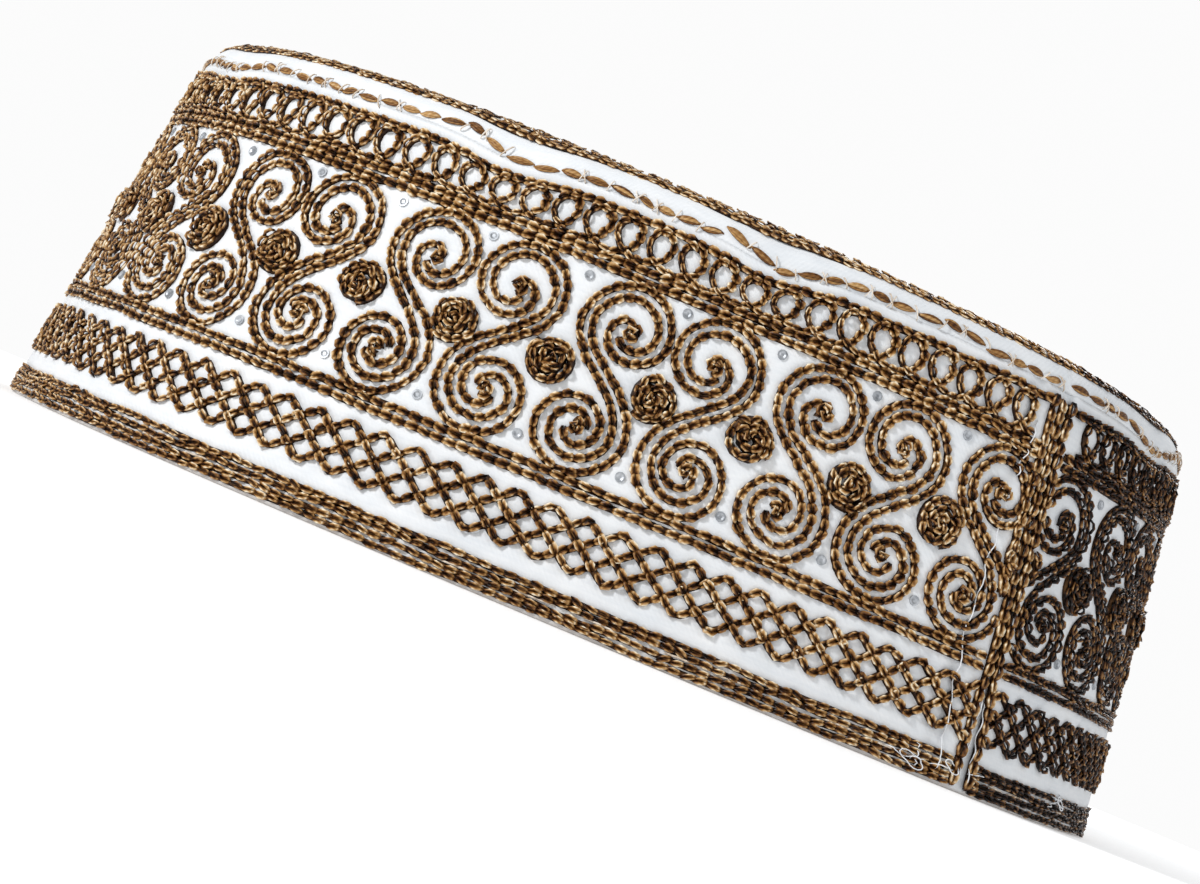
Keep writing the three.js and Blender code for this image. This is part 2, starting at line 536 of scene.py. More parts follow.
# painted shade: near-black ramp for the dark ridges under the rows
shade_ridge_stops = [(0.12, "0b0402"), (0.34, "2e190a"), (0.55, "5e3e1e"), (0.85, "8a6538")]
brown_thread = thread_material("golden_brown_rayon_thread", gold_stops, 0.33, 0.5, 0.05)
under_thread = thread_material("dark_brown_under_thread", dark_stops, 0.7, 0.6, 0.05)
shade_ridge_material = thread_material("painted_shade_ridges", shade_ridge_stops, 0.5, 0.6, 0.05)
tan_thread = thread_material("tan_under_thread", tan_stops, 0.7, 0.6, 0.05)
white_thread = thread_material("white_cotton_thread", white_stops, 0.6, 0.5, 0.02)
cream_thread = thread_material("cream_cotton_thread", cream_stops, 0.6, 0.5, 0.02)

# %% [markdown]
# ## The pattern in the flat
# The embroidery is one unit of 31.25 mm, repeated 18 times round the band. Every line is a list
# of points, in millimetres along the pattern and up from the rim. The seam cuts the pattern a
# little past the middle of a scroll, so the pattern's own count starts 7.2 mm left of it.

# %% Measure the pattern
units_round = 18
unit = 31.25
pattern_girth = units_round * unit
small_marks_round = 6 * units_round
seam_in_pattern = 7.2
seam_clear = 2.5
puck_start = 52.0
puck_full = 60.0
puck_fade = 64.0
puck_end = 69.5


def settle(points):
    along = (points[..., 0] - seam_in_pattern) * girth / pattern_girth
    height = points[..., 1]
    sink = soft_step((height - puck_start) / (puck_full - puck_start))
    sink = sink * (1 - soft_step((height - puck_fade) / (puck_end - puck_fade)))
    return along, height - pucker_at(along) * sink


def evened(values, width):
    return np.convolve(values, np.ones(width) / width, mode="same")


def straight_row(height, step, wave, clear=seam_clear):
    start = seam_in_pattern + clear
    along = np.arange(start, start + pattern_girth - 2 * clear + 0.01, step)
    drift = evened(dice.normal(0, 1, len(along)), 9)
    return np.stack([along, np.full(len(along), height) + wave * drift], axis=1)


def run_length(points):
    return np.linalg.norm(np.diff(points, axis=0), axis=1).sum()


# %% Draw the lattice
lattice_low = 7.8
lattice_high = 16.3
lattice_clear = 1.5
lattice_step = 0.4
lattice_pitch = pattern_girth / small_marks_round
lattice_strands = 4
strand_period = lattice_strands * lattice_pitch
over_lift = 0.32


def lattice_strand(number):
    start = seam_in_pattern + lattice_clear
    end = seam_in_pattern + pattern_girth - lattice_clear
    along = np.arange(start, end, lattice_step)
    phase = ((along - number * lattice_pitch) / strand_period) % 1
    swing = 1 - np.abs(2 * phase - 1) * 2
    swing = evened(np.pad(swing, 1, mode="edge"), 3)[1:-1]
    middle = (lattice_low + lattice_high) / 2
    half = (lattice_high - lattice_low) / 2
    falling = soft_step((np.minimum(phase - 0.5, 1 - phase) + 0.02) / 0.08)
    drift = evened(dice.normal(0, 0.25, len(along)), 15)
    points = np.stack([along, middle + half * swing + drift], axis=1)
    return points, over_lift * falling


lattice_runs = [lattice_strand(number) for number in range(lattice_strands)]
print("lattice thread in mm:", round(sum(run_length(run[0]) for run in lattice_runs)))

# %% Draw the scrolls
upper_eye = np.array([0.0, 43.8])
lower_eye = np.array([-2.05, 27.8])
mirror_line = 6.55
# Each scroll is sewn in two rows. A row's pair is the radius where its coil starts, and its turns.
upper_coil = {"outer": (7.5, 1.32), "inner": (5.65, 0.88), "closing": 4.6, "bend": 1.4}
lower_coil = {"outer": (7.4, 1.42), "inner": (5.35, 0.93), "closing": 3.95, "bend": 1.12}
outer_arm_bends = (36.5, 35.5)
inner_arm_bends = (37.0, 36.5)
arm_steps = 30
steps_per_turn = 70


def spiral(eye, start_degrees, coil, row):
    start_radius, turns = coil[row]
    share = np.linspace(0, turns, int(turns * steps_per_turn))
    radius = start_radius - coil["closing"] * share ** coil["bend"]
    angle = np.radians(start_degrees) - share * 2 * math.pi
    return eye + np.stack([np.cos(angle), np.sin(angle)], axis=1) * radius[:, None]


def bezier(corners):
    share = np.linspace(0, 1, arm_steps)[:, None]
    p0, p1, p2, p3 = [np.array(corner, float) for corner in corners]
    rest = 1 - share
    return (
        rest ** 3 * p0 + 3 * rest ** 2 * share * p1
        + 3 * rest * share ** 2 * p2 + share ** 3 * p3
    )


def scroll_row(upper_row, lower_row, bends):
    high, low = upper_eye[1], lower_eye[1]
    left = upper_eye[0] - upper_coil[upper_row][0]
    right = lower_eye[0] + lower_coil[lower_row][0]
    arm = bezier([(left, high), (left, bends[0]), (right, bends[1]), (right, low)])
    top = spiral(upper_eye, 180, upper_coil, upper_row)[::-1]
    foot = spiral(lower_eye, 0, lower_coil, lower_row)
    return np.concatenate([top[:-1], arm, foot[1:]])


def mirrored(points):
    return np.stack([2 * mirror_line - points[:, 0], points[:, 1]], axis=1)


def moved(points, along):
    return points + np.array([along, 0.0])


def even_steps(points, step=0.5):
    lengths = np.linalg.norm(np.diff(points, axis=0), axis=1)
    along = np.concatenate([[0], np.cumsum(lengths)])
    count = max(3, int(round(along[-1] / step)) + 1)
    spots = np.linspace(0, along[-1], count)
    x = np.interp(spots, along, points[:, 0])
    y = np.interp(spots, along, points[:, 1])
    return np.stack([x, y], axis=1)


def softened(points, amount):
    drift = dice.normal(0, 1, (len(points), 2))
    width = 13
    for axis in range(2):
        drift[:, axis] = evened(drift[:, axis], width) * math.sqrt(width)
    return points + drift * amount


base_scrolls = [
    even_steps(scroll_row("outer", "inner", outer_arm_bends)),
    even_steps(scroll_row("inner", "outer", inner_arm_bends)),
]
scroll_unevenness = 0.09
scroll_runs = []
for number in range(units_round):
    for row in base_scrolls:
        for drawn in (row, mirrored(row)):
            run = softened(moved(drawn, number * unit), scroll_unevenness)
            scroll_runs.append((run, 0.0))
print("scroll rows:", len(scroll_runs))

# %% Fill the scrolls' eyes
eye_radius = 1.25
eye_turns = 1.3
eye_lift = 0.22


def eye_hook(turn_start, way):
    share = np.linspace(0, 1, 26)
    radius = eye_radius * (1 - 0.85 * share)
    angle = turn_start + way * share * eye_turns * 2 * math.pi
    return np.stack([np.cos(angle), np.sin(angle)], axis=1) * radius[:, None]


eye_runs = []
for number in range(units_round):
    for eye in (upper_eye, lower_eye):
        left_eye = eye + np.array([number * unit, 0.0])
        right_eye = np.array([2 * mirror_line - eye[0] + number * unit, eye[1]])
        for spot, way in ((left_eye, -1), (right_eye, 1)):
            hook = eye_hook(dice.uniform(0, 2 * math.pi), way) * dice.uniform(0.85, 1.15)
            eye_runs.append((hook + spot + dice.normal(0, 0.12, 2), eye_lift))
print("eyes:", len(eye_runs))

# %% Draw the rosettes
rosette_height = 35.7
rosette_radius = 3.45
rosette_pitch = 1.15
rosette_dome = 0.8
rosette_core = 0.12
tucked_turn = 0.3
tuck_share = 0.16
rosette_places = [6.6, 22.15]


def rosette_coil(turn_start):
    turns = rosette_radius / rosette_pitch
    share = np.linspace(0, 1, int(turns * 40))
    tucked = tuck_share * (1 - soft_step(share * turns / tucked_turn))
    radius = rosette_core + rosette_radius * (1 - share) * (1 - tucked)
    angle = turn_start + share * turns * 2 * math.pi
    points = np.stack([np.cos(angle), np.sin(angle)], axis=1) * radius[:, None]
    dome = rosette_dome * (1 - (radius / (rosette_radius + 0.4)) ** 2)
    return points, dome


rosette_runs = []
rosette_spots = []
for number in range(units_round):
    for place in rosette_places:
        spot = np.array([number * unit + place, rosette_height]) + dice.normal(0, 0.12, 2)
        coil, dome = rosette_coil(dice.uniform(0, 2 * math.pi))
        coil = softened(even_steps(coil * dice.uniform(1.0, 1.1), 0.4), 0.11)
        dome = np.interp(np.linspace(0, 1, len(coil)), np.linspace(0, 1, len(dome)), dome)
        rosette_runs.append((coil + spot, dome))
        rosette_spots.append(spot)
print("rosettes:", len(rosette_runs))

# %% Draw the ring chain and the straight rows
ring_pitch = pattern_girth / small_marks_round
ring_height = 56.9
ring_half = 2.85
ring_reach = 3.1
ring_swell = 0.28
rim_heights = (0.95, 2.05, 3.3, 4.4)
lower_heights = (18.85, 20.4)
upper_heights = (51.6, 53.1)
top_height = 60.3


def ring_row(start, middle, half, reach, turns):
    swing = np.linspace(0, turns * 2 * math.pi, turns * 36)
    along = start + ring_pitch * swing / (2 * math.pi) + reach * np.sin(swing)
    height = middle - half * np.cos(swing)
    falling = soft_step(-np.sin(swing) * 1.5 + 0.3)
    swell = 1 + ring_swell * np.sin(swing)
    return np.stack([along, height], axis=1), over_lift * falling, swell


ring_start = seam_in_pattern + 3.5 + ring_reach / 2
rings = small_marks_round - 2
ring_points, ring_lift, ring_width = ring_row(ring_start, ring_height, ring_half, ring_reach, rings)
ring_runs = [(softened(ring_points, 0.08), ring_lift, ring_width)]
rim_runs = [(straight_row(height, 0.8, 0.3, 1.9)[::-1], 0.05) for height in rim_heights]
lower_runs = [(straight_row(height, 0.8, 0.15, 1.8), 0.0) for height in lower_heights]
upper_runs = [(straight_row(height, 0.8, 0.15), 0.0) for height in upper_heights]
top_runs = [(straight_row(top_height, 0.8, 0.2), 0.1)]
print("ring chain in mm:", round(run_length(ring_points)))

# %% [markdown]
# ## One chain stitch
# A chain stitch is a loop of thread: it comes up inside the loop before it, spreads into two
# legs and closes where the next loop starts. It is modelled once, with one leg grown from a
# three-sided disc by three extrusions and mirrored, and then copied along every line. Only 40
# triangles make a stitch, because there are more than ten thousand of them.

# %% Model the stitch
leg_sections = [
    # place along, place across, height, half width, half height, in millimetres
    (0.00, 0.10, 0.12, 0.15, 0.12),
    (0.45, 0.38, 0.38, 0.34, 0.27),
    (1.15, 0.48, 0.46, 0.40, 0.32),
    (1.90, 0.20, 0.20, 0.21, 0.19),
]
# painted shade and highlight on a stitch: darkest where it starts under the loop before, lightest
# in its middle, darker on the inner edges of the legs than on the outer ones
shading_along = (0.0, 0.7, 1.0, 0.08)
outer_edge_shading = 0.5
inner_edge_shading = 0.08
stitch_middle = 0.9
next_stitch_at = 1.65
stitch_lengths = (0.92, 1.12)
stitch_widths = (0.82, 1.16)
stitch_bulks = (0.8, 1.15)
slip = 0.08
lean_amount = 0.12
sideways_amount = 0.06
tilt_amount = 0.09


def model_stitch():
    start = leg_sections[0]
    bpy.ops.mesh.primitive_circle_add(
        vertices=3, radius=1, fill_type="NGON", location=(start[0], start[1], start[2]),
        rotation=(0, math.radians(90), 0),
    )
    leg = bpy.context.object
    leg.name = "stitch_leg"
    bpy.ops.object.transform_apply(location=True, rotation=True, scale=True)
    bpy.ops.object.mode_set(mode="EDIT")
    bpy.ops.mesh.select_all(action="SELECT")
    bpy.ops.transform.rotate(
        value=math.radians(180), orient_axis="X", center_override=start[:3],
    )
    bpy.ops.transform.resize(value=(1, start[3], start[4]), center_override=start[:3])
    for before, after in zip(leg_sections, leg_sections[1:]):
        move = [after[i] - before[i] for i in range(3)]
        bpy.ops.mesh.extrude_region_move(TRANSFORM_OT_translate={"value": move})
        grow = (1, after[3] / before[3], after[4] / before[4])
        bpy.ops.transform.resize(value=grow, center_override=after[:3])
    bpy.ops.mesh.select_all(action="SELECT")
    bpy.ops.mesh.normals_make_consistent(inside=False)
    bpy.ops.mesh.quads_convert_to_tris()
    bpy.ops.object.mode_set(mode="OBJECT")
    mirror = leg.modifiers.new("other_leg", "MIRROR")
    mirror.use_axis = (False, True, False)
    mirror.use_mirror_merge = False
    bpy.ops.object.modifier_apply(modifier=mirror.name)
    points = np.array([vertex.co[:] for vertex in leg.data.vertices])
    faces = np.array([polygon.vertices[:] for polygon in leg.data.polygons])
    bpy.data.objects.remove(leg, do_unlink=True)
    return points, faces


stitch_points, stitch_faces = model_stitch()
section_places = [section[0] for section in leg_sections]
section_middles = [section[1] for section in leg_sections]
section_heights = [section[2] for section in leg_sections]
# Painted shade and highlight per point: full on the ridge of each leg, less on its outer edge,
# least on its inner edge.
on_ridge = stitch_points[:, 2] > np.interp(stitch_points[:, 0], section_places, section_heights)
stitch_shading = np.interp(stitch_points[:, 0], section_places, shading_along)
leg_middles = np.interp(stitch_points[:, 0], section_places, section_middles)
outer_edge = np.abs(stitch_points[:, 1]) > leg_middles
edge_shading = np.where(outer_edge, outer_edge_shading, inner_edge_shading)
stitch_shading = stitch_shading * np.where(on_ridge, 1.0, edge_shading)
print("stitch:", len(stitch_points), "points,", len(stitch_faces), "triangles")

# %% Sew a row
# Right of the seam the thread is darkened with painted shade, most away from its crests, and the
# shade fades out round the back.
right_shade_depth = 0.65
right_shade_off_crest = 0.7
right_shade_start = 6.0
right_shade_full = 60.0
right_shade_fading = 90.0
seam_gap = 2.1
grain_shift = 40.0


def path_frame(points):
    lengths = np.linalg.norm(np.diff(points, axis=0), axis=1)
    along = np.concatenate([[0], np.cumsum(lengths)])
    ways = np.gradient(points, axis=0)
    ways /= np.linalg.norm(ways, axis=1, keepdims=True) + 1e-9
    return along, ways


def read_path(points, along, ways, spots):
    x = np.interp(spots, along, points[:, 0])
    y = np.interp(spots, along, points[:, 1])
    way_x = np.interp(spots, along, ways[:, 0])
    way_y = np.interp(spots, along, ways[:, 1])
    size = np.hypot(way_x, way_y) + 1e-9
    way = np.stack([way_x / size, way_y / size], axis=-1)
    past = spots - np.clip(spots, 0, along[-1])
    return np.stack([x, y], axis=-1) + way * past[..., None], way


def sewn_row(points, lift, pitch, width, bulk, mess):
    along, ways = path_frame(points)
    count = max(1, int(round(along[-1] / pitch)))
    step = along[-1] / count
    starts = np.arange(count) * step + dice.normal(0, slip * mess, count)
    stretch = step / next_stitch_at * dice.uniform(*stitch_lengths, count)
    spots = starts[:, None] + stitch_points[None, :, 0] * stretch[:, None]
    spot, way = read_path(points, along, ways, spots)
    widths = np.interp(starts, along, np.broadcast_to(width, (len(points),)))
    across = stitch_points[None, :, 1] * (widths * dice.uniform(*stitch_widths, count))[:, None]
    lean = dice.normal(0, lean_amount * mess, (count, 1))
    drift = dice.normal(0, sideways_amount * mess, (count, 1))
    across = across + lean * (stitch_points[None, :, 0] - stitch_middle) + drift
    side = np.stack([-way[..., 1], way[..., 0]], axis=-1)
    flat = spot + side * across[..., None]
    lifts = np.broadcast_to(np.asarray(lift, float), (len(points),))
    height = stitch_points[None, :, 2] * (bulk * dice.uniform(*stitch_bulks, count))[:, None]
    tilt = dice.normal(0, tilt_amount * mess, (count, 1))
    height = height + tilt * np.sign(stitch_points[None, :, 1])
    height = height + np.interp(spots, along, lifts)
    return flat, height, np.stack([spots, across], axis=-1)


# painted shade right of the seam: it rises over the first 6 mm and fades out past 60 mm
def right_side_shade(along):
    beside = from_seam(along)
    fading = soft_step((beside - right_shade_full) / right_shade_fading)
    return soft_step(beside / right_shade_start) * (1 - fading)


def sewn_piece(
    name, runs, pitch=1.9, width=1.0, bulk=1.0, mess=1.0, flat_map=settle, gap=seam_gap,
):
    rows = [
        sewn_row(points, lift, pitch, width * swell[0] if swell else width, bulk, mess)
        for points, lift, *swell in runs
    ]
    flat, height, grain = (np.concatenate(column) for column in zip(*rows))
    along, up = flat_map(flat)
    keep = np.abs(from_seam(along.mean(axis=1))) >= gap
    along, up, height, grain = along[keep], up[keep], height[keep], grain[keep]
    count = len(along)
    spots = on_cap(along, up, height).reshape(-1, 3)
    size = len(stitch_points)
    faces = (np.arange(count) * size)[:, None, None] + stitch_faces[None]
    painted_shading = np.tile(stitch_shading, count)
    tint = np.repeat(dice.uniform(0, 1, count), size)
    # painted shade right of the seam lowers the tint, more away from the crests
    painted_right_shade = np.repeat(right_side_shade(along.mean(axis=1)), size)
    tint -= painted_right_shade * (right_shade_depth + right_shade_off_crest * (1 - painted_shading))
    shift = dice.uniform(0, grain_shift, (count, 2))
    grain = grain.reshape(-1, 2) + np.repeat(shift, size, axis=0)
    piece = mesh_piece(name, spots, faces.reshape(-1, 3), painted_shading, tint, grain)
    finish_piece(piece, brown_thread)


half = len(scroll_runs) // 2
sewn_piece("rim_border_chain", rim_runs, pitch=1.95, width=0.76, bulk=0.8, mess=1.2)
sewn_piece("lattice_chain", lattice_runs, pitch=1.8, width=0.92)
sewn_piece("lower_line_chain", lower_runs, pitch=2.0, width=0.98)
sewn_piece("scroll_chain_first", scroll_runs[:half], pitch=1.7, width=1.02)
sewn_piece("scroll_chain_second", scroll_runs[half:], pitch=1.7, width=1.02)
sewn_piece("eye_chain", eye_runs, pitch=1.5, mess=1.5)
sewn_piece("rosette_chain", rosette_runs, pitch=1.55, width=0.92, mess=1.9)
sewn_piece("upper_line_chain", upper_runs, pitch=2.0, width=1.05, mess=1.2)
sewn_piece("ring_chain", ring_runs, pitch=1.6, width=0.88, mess=1.2)
sewn_piece("top_line_chain", top_runs, pitch=1.9)

# %% [markdown]
# ## The joining seam
# The band is one strip, closed into a ring by an upright seam. A broad row of chain stitch runs
# up each side of it, with a hair of white cloth between them lower down and a third row above.

# %% Sew the seam's cords
seam_foot = 0.9
seam_head = 61.4
third_cord_foot = 30.0
cord_lines = [
    # offset at the foot, offset at the head, lowest height
    (1.6, 1.0, seam_foot), (-1.6, -1.0, seam_foot), (-2.6, -2.75, third_cord_foot),
]


def seam_cord(foot_offset, head_offset, lowest):
    height = np.arange(lowest, seam_head, 0.6)
    share = soft_step((height - 4) / 16)
    across = foot_offset + (head_offset - foot_offset) * share
    drift = evened(dice.normal(0, 0.22, len(height)), 7)
    return np.stack([across + drift, height], axis=1)


def beside_seam(flat):
    along, height = flat[..., 0], flat[..., 1]
    sink = soft_step((height - puck_start) / (puck_full - puck_start))
    return along, height - pucker_at(along) * sink


cord_runs = [(seam_cord(*line), 0.1) for line in cord_lines]
sewn_piece(
    "seam_cords", cord_runs, pitch=2.05, width=1.12, mess=1.2, flat_map=beside_seam, gap=0,
)

# %% [markdown]
# ## Loose strands
# Fine threads are swept as thin tubes of four sides. The crown is sewn on with a wavy row of
# brown dashes, white overcast threads cross it, and a few white ends hang loose by the seam.

# %% Lay thin threads
thread_sides = 4
thread_tip = 0.45
dash_tip = 0.25


def thin_threads(name, runs, radius, material, flat_map, flatness=1.0, shading_top=0.45):
    turn = np.arange(thread_sides) / thread_sides * 2 * math.pi + math.pi / thread_sides
    parts = []
    for points, lift in runs:
        along, ways = path_frame(points)
        count = len(points)
        taper = np.ones(count)
        taper[0] = taper[-1] = thread_tip
        if flatness < 1:
            belly = np.sin(np.linspace(0.05, 0.95, count) * math.pi) ** 0.6
            taper = dash_tip + (1 - dash_tip) * belly
        lifts = np.broadcast_to(np.asarray(lift, float), (count,))
        side = np.stack([-ways[:, 1], ways[:, 0]], axis=1)
        across = np.cos(turn)[None] * radius * taper[:, None]
        flat = points[:, None] + side[:, None] * across[..., None]
        height = lifts[:, None] + np.sin(turn)[None] * radius * flatness * taper[:, None]
        spots = on_cap(*flat_map(flat), height).reshape(-1, 3)
        first_cap = np.arange(thread_sides)[::-1]
        last_cap = (count - 1) * thread_sides + np.arange(thread_sides)
        sides = tube_faces(count, thread_sides).reshape(-1, 4)
        # painted highlight: each tube lighter on its upper side
        painted_shading = np.tile((np.sin(turn) * 0.5 + 0.5) * shading_top, count)
        tint = np.full(len(spots), dice.uniform())
        grain = np.stack([
            np.repeat(along, thread_sides), np.tile(turn * radius, count),
        ], axis=-1) + dice.uniform(0, grain_shift, 2)
        parts.append((spots, np.concatenate([sides, [first_cap, last_cap]]), painted_shading, tint, grain))
    joined_piece(name, parts, material)


# %% Sew the crown on
dash_middle = 63.3
dash_rises = [(-62, 1.8), (-25, 1.0), (-108, 1.3), (46, 1.2), (130, 1.0), (205, 1.4)]
dash_rise_spread = 4.5
dash_radius = 0.3
dash_lengths = (2.8, 4.4)
dash_spaces = (0.2, 0.6)
strand_spreads = (0.28, 0.4)
overcast_radius = 0.12
overcast_leans = (0.6, 1.6)
overcast_reaches = (0.8, 1.2)
overcast_arch = 0.6
overcast_skipped = 0.45
pucker_share = 0.9


def crown_seam(flat):
    along, up = settle(flat)
    return along, up - pucker_share * pucker_at(along)


def dash_height(place):
    beside = from_seam((place - seam_in_pattern) * girth / pattern_girth)
    rise = sum(tall * math.exp(-((beside - at) / dash_rise_spread) ** 2) for at, tall in dash_rises)
    return dash_middle + rise + 0.35 * math.sin(place / 9.0)


def crown_dashes():
    runs = []
    gaps = []
    place = seam_in_pattern
    share = np.linspace(0, 1, 7)
    belly = np.sin(share * math.pi) ** 0.7
    while place < seam_in_pattern + pattern_girth - 2.5:
        length = dice.uniform(*dash_lengths)
        middle = dash_height(place) + dice.normal(0, 0.1)
        slope = (dash_height(place + length) - dash_height(place)) * (share - 0.5)
        slope = slope + dice.normal(0, 0.3) * (share - 0.5)
        for strand in (-1, 0, 1):
            spread = strand * dice.uniform(*strand_spreads) * belly
            along = place + length * share + dice.normal(0, 0.15)
            arch = (0.34 - 0.14 * abs(strand)) * belly
            runs.append((np.stack([along, middle + slope + spread], axis=1), arch))
        gap = dice.uniform(*dash_spaces)
        gaps.append((place + length + gap / 2, middle))
        place += length + gap
    return runs, gaps


def overcast(gaps):
    runs = []
    for place, middle in gaps:
        for lean in (dice.uniform(*overcast_leans), -dice.uniform(*overcast_leans)):
            if dice.uniform() < overcast_skipped:
                continue
            share = np.linspace(0, 1, 8)
            along = place + lean * (share - 0.5) + dice.normal(0, 0.1)
            height = middle + dice.uniform(*overcast_reaches) * (2 * share - 1)
            arch = overcast_arch * np.sin(share * math.pi) ** 0.5 + 0.04
            runs.append((np.stack([along, height], axis=1), arch))
    return runs


dash_runs, dash_gaps = crown_dashes()
thin_threads(
    "crown_seam_dashes", dash_runs, dash_radius, brown_thread, crown_seam,
    flatness=0.8, shading_top=0.6,
)
overcast_runs = overcast(dash_gaps)
thin_threads(
    "overcast_threads", overcast_runs, overcast_radius, cream_thread, crown_seam,
)
print("overcast threads:", len(overcast_runs))

# %% Lay the loose ends by the seam
loose_radius = 0.1
streak_radius = 0.17
streak_height = 2.68
streak_lengths = (2.0, 6.5)
streak_spacing = 9.0


def wander(start, end, steps, amount, lift):
    share = np.linspace(0, 1, steps)[:, None]
    points = np.array(start) + (np.array(end) - np.array(start)) * share
    drift = dice.normal(0, 1, (steps, 2))
    for axis in range(2):
        drift[:, axis] = evened(drift[:, axis], 5)
    rise = lift * (0.6 + 0.4 * np.sin(share[:, 0] * 19))
    rise[0] = rise[-1] = 0.1
    return points + drift * amount, rise


def curl(middle, radius, turns, lift):
    share = np.linspace(0, 1, int(turns * 22))
    angle = share * turns * 2 * math.pi
    size = radius * (1 - 0.35 * share) * (1 + 0.3 * np.sin(2.3 * angle + middle[0]))
    points = np.stack([np.cos(angle) * size * 1.9, np.sin(angle) * size], axis=1)
    slide = np.stack([share * 1.6, share * -0.5], axis=1)
    return points + slide + np.array(middle), lift * (0.3 + 0.7 * np.sin(share * math.pi))


loose_runs = [
    wander((-5.2, 2.0), (-7.2, 24.0), 44, 0.35, 0.9),
    wander((-7.0, 24.0), (-6.4, 41.0), 36, 0.3, 0.95),
    wander((-6.0, 47.0), (-5.0, 56.5), 22, 0.3, 0.95),
    wander((-1.1, 1.2), (-0.4, 17.0), 30, 0.15, 0.75),
    wander((0.9, 1.5), (0.3, 14.0), 26, 0.15, 0.75),
    wander((-14.5, 2.4), (-1.0, 2.9), 26, 0.4, 1.0),
    wander((-9.5, 4.8), (-8.6, 1.0), 12, 0.3, 1.1),
    wander((1.0, 3.2), (4.6, 3.9), 12, 0.3, 0.9),
    curl((-10.5, 2.2), 1.1, 1.4, 1.3),
    curl((-3.6, 3.4), 0.8, 1.2, 1.2),
    wander((24.0, 3.0), (29.5, 5.6), 14, 0.35, 1.1),
    wander((25.0, 5.0), (30.5, 3.4), 14, 0.35, 1.2),
    curl((27.4, 4.3), 0.9, 1.3, 1.2),
]
thin_threads(
    "loose_white_threads", loose_runs, loose_radius, white_thread, beside_seam,
)


def rim_streaks():
    runs = []
    place = seam_in_pattern + 6
    while place < seam_in_pattern + pattern_girth - 12:
        length = dice.uniform(*streak_lengths)
        height = streak_height + dice.normal(0, 0.1)
        low = height + dice.normal(0, 0.18)
        runs.append(wander((place, height), (place + length, low), 8, 0.08, 0.42))
        place += length + dice.exponential(streak_spacing)
    return runs


thin_threads("rim_streaks", rim_streaks(), streak_radius, cream_thread, settle)

# %% [markdown]
# ## Ring chain on the crown's edge
# A second, smaller ring chain runs round the crown's shoulder, where it shows as the outline.

# %% Sew the crown's edge
edge_height = 69.3
edge_half = 1.9
edge_reach = 2.9
edge_line_height = 66.9
edge_points, edge_lift, edge_width = ring_row(
    seam_in_pattern, edge_height, edge_half, edge_reach, small_marks_round,
)
edge_line = straight_row(edge_line_height, 0.8, 0.2, clear=0.0)
edge_runs = [(edge_points, edge_lift * 0.3, edge_width), (edge_line, 0.0)]
sewn_piece("crown_edge_chain", edge_runs, pitch=1.75, width=0.9, bulk=0.5, gap=0)

# %% [markdown]
# ## Painted shade under the rows
# Between the loops of each chain lies shade. A low dark ridge under every row is painted shade
# for it, and gives each row its crisp dark edge on the white cloth.

# %% Lay the painted shade ridges
ridge_foot = -0.06
ridge_seam_gap = 2.4


def low_ridges(
    name, groups, material, flat_map=settle, base=0.0, way_out=1, step=1.3, gap=ridge_seam_gap,
):
    on_crest = np.array([0.0, 1.0, 0.0])
    parts = []
    for runs, half_width, height in groups:
        across = np.array([-half_width, 0.0, half_width])
        rise = np.array([ridge_foot, height, ridge_foot])
        for points, lift, *_ in runs:
            line = even_steps(points, step)
            lifts = np.broadcast_to(np.asarray(lift, float), (len(points),))
            places = np.linspace(0, len(points) - 1, len(line))
            lifts = np.interp(places, np.arange(len(points)), lifts)
            along, ways = path_frame(line)
            side = np.stack([-ways[:, 1], ways[:, 0]], axis=1)
            count = len(line)
            flat = line[:, None] + side[:, None] * across[None, :, None]
            spot_along, spot_up = flat_map(flat)
            raised = lifts[:, None] * on_crest + rise
            spots = on_cap(spot_along, spot_up, base + way_out * raised).reshape(-1, 3)
            quads = tube_faces(count, 3)[..., ::-way_out]
            clear = np.abs(from_seam(spot_along[:-1, 1])) >= gap
            # painted highlight along the top of each ridge, of random strength
            painted_shading = np.outer(dice.uniform(0.15, 1.0, count), on_crest).ravel()
            tint = np.repeat(dice.uniform(0, 1, count), 3)
            grain = np.stack([np.repeat(along, 3), np.tile(across, count)], axis=-1)
            parts.append((spots, quads[clear].reshape(-1, 4), painted_shading, tint, grain))
    joined_piece(name, parts, material)


shade_ridge_groups = [
    # rows, half width and height of the ridge in millimetres
    (rim_runs, 0.5, 0.2), (lattice_runs, 0.6, 0.22), (lower_runs, 0.66, 0.22),
    (scroll_runs, 0.64, 0.22), (upper_runs, 0.75, 0.2), (ring_runs, 0.55, 0.2),
    (top_runs, 0.65, 0.2), (rosette_runs, 0.7, 0.2), (eye_runs, 0.7, 0.2),
]
edge_groups = [(edge_runs, 0.6, 0.12)]
cord_groups = [(cord_runs, 0.7, 0.2)]
# painted shade: dark ridges under the rows, at the crown's edge and by the seam
low_ridges("painted_shade_rows", shade_ridge_groups, shade_ridge_material)
low_ridges("crown_painted_shade", edge_groups, shade_ridge_material, gap=0)
low_ridges("seam_painted_shade", cord_groups, shade_ridge_material, flat_map=beside_seam, gap=0)

# %% [markdown]
# ## The band's cloth
# The band is one strip closed into a ring, so it starts as a flat grid, as the cloth does on the
# table: its long way is wrapped round the cap, and its short way goes up the outside, over the
# top edge and down the inside. The edges that meet are then merged, and the wall is closed. A
# search tree of stitched points tells how near the thread is: the cloth sinks there and puffs
# up between, and it is greyed with painted shade near the thread.

# %% Find the stitched places


def stitched_places():
    spots = []
    groups = [rim_runs, lattice_runs, lower_runs, scroll_runs, rosette_runs, upper_runs]
    groups += [ring_runs, top_runs]
    for group in groups:
        for points, *_ in group:
            along, up = settle(even_steps(points, 0.7))
            spots.append(np.stack([from_seam(along), up], axis=1))
    for points, _ in cord_runs:
        along, up = beside_seam(points)
        spots.append(np.stack([along, up], axis=1))
    return np.concatenate(spots)


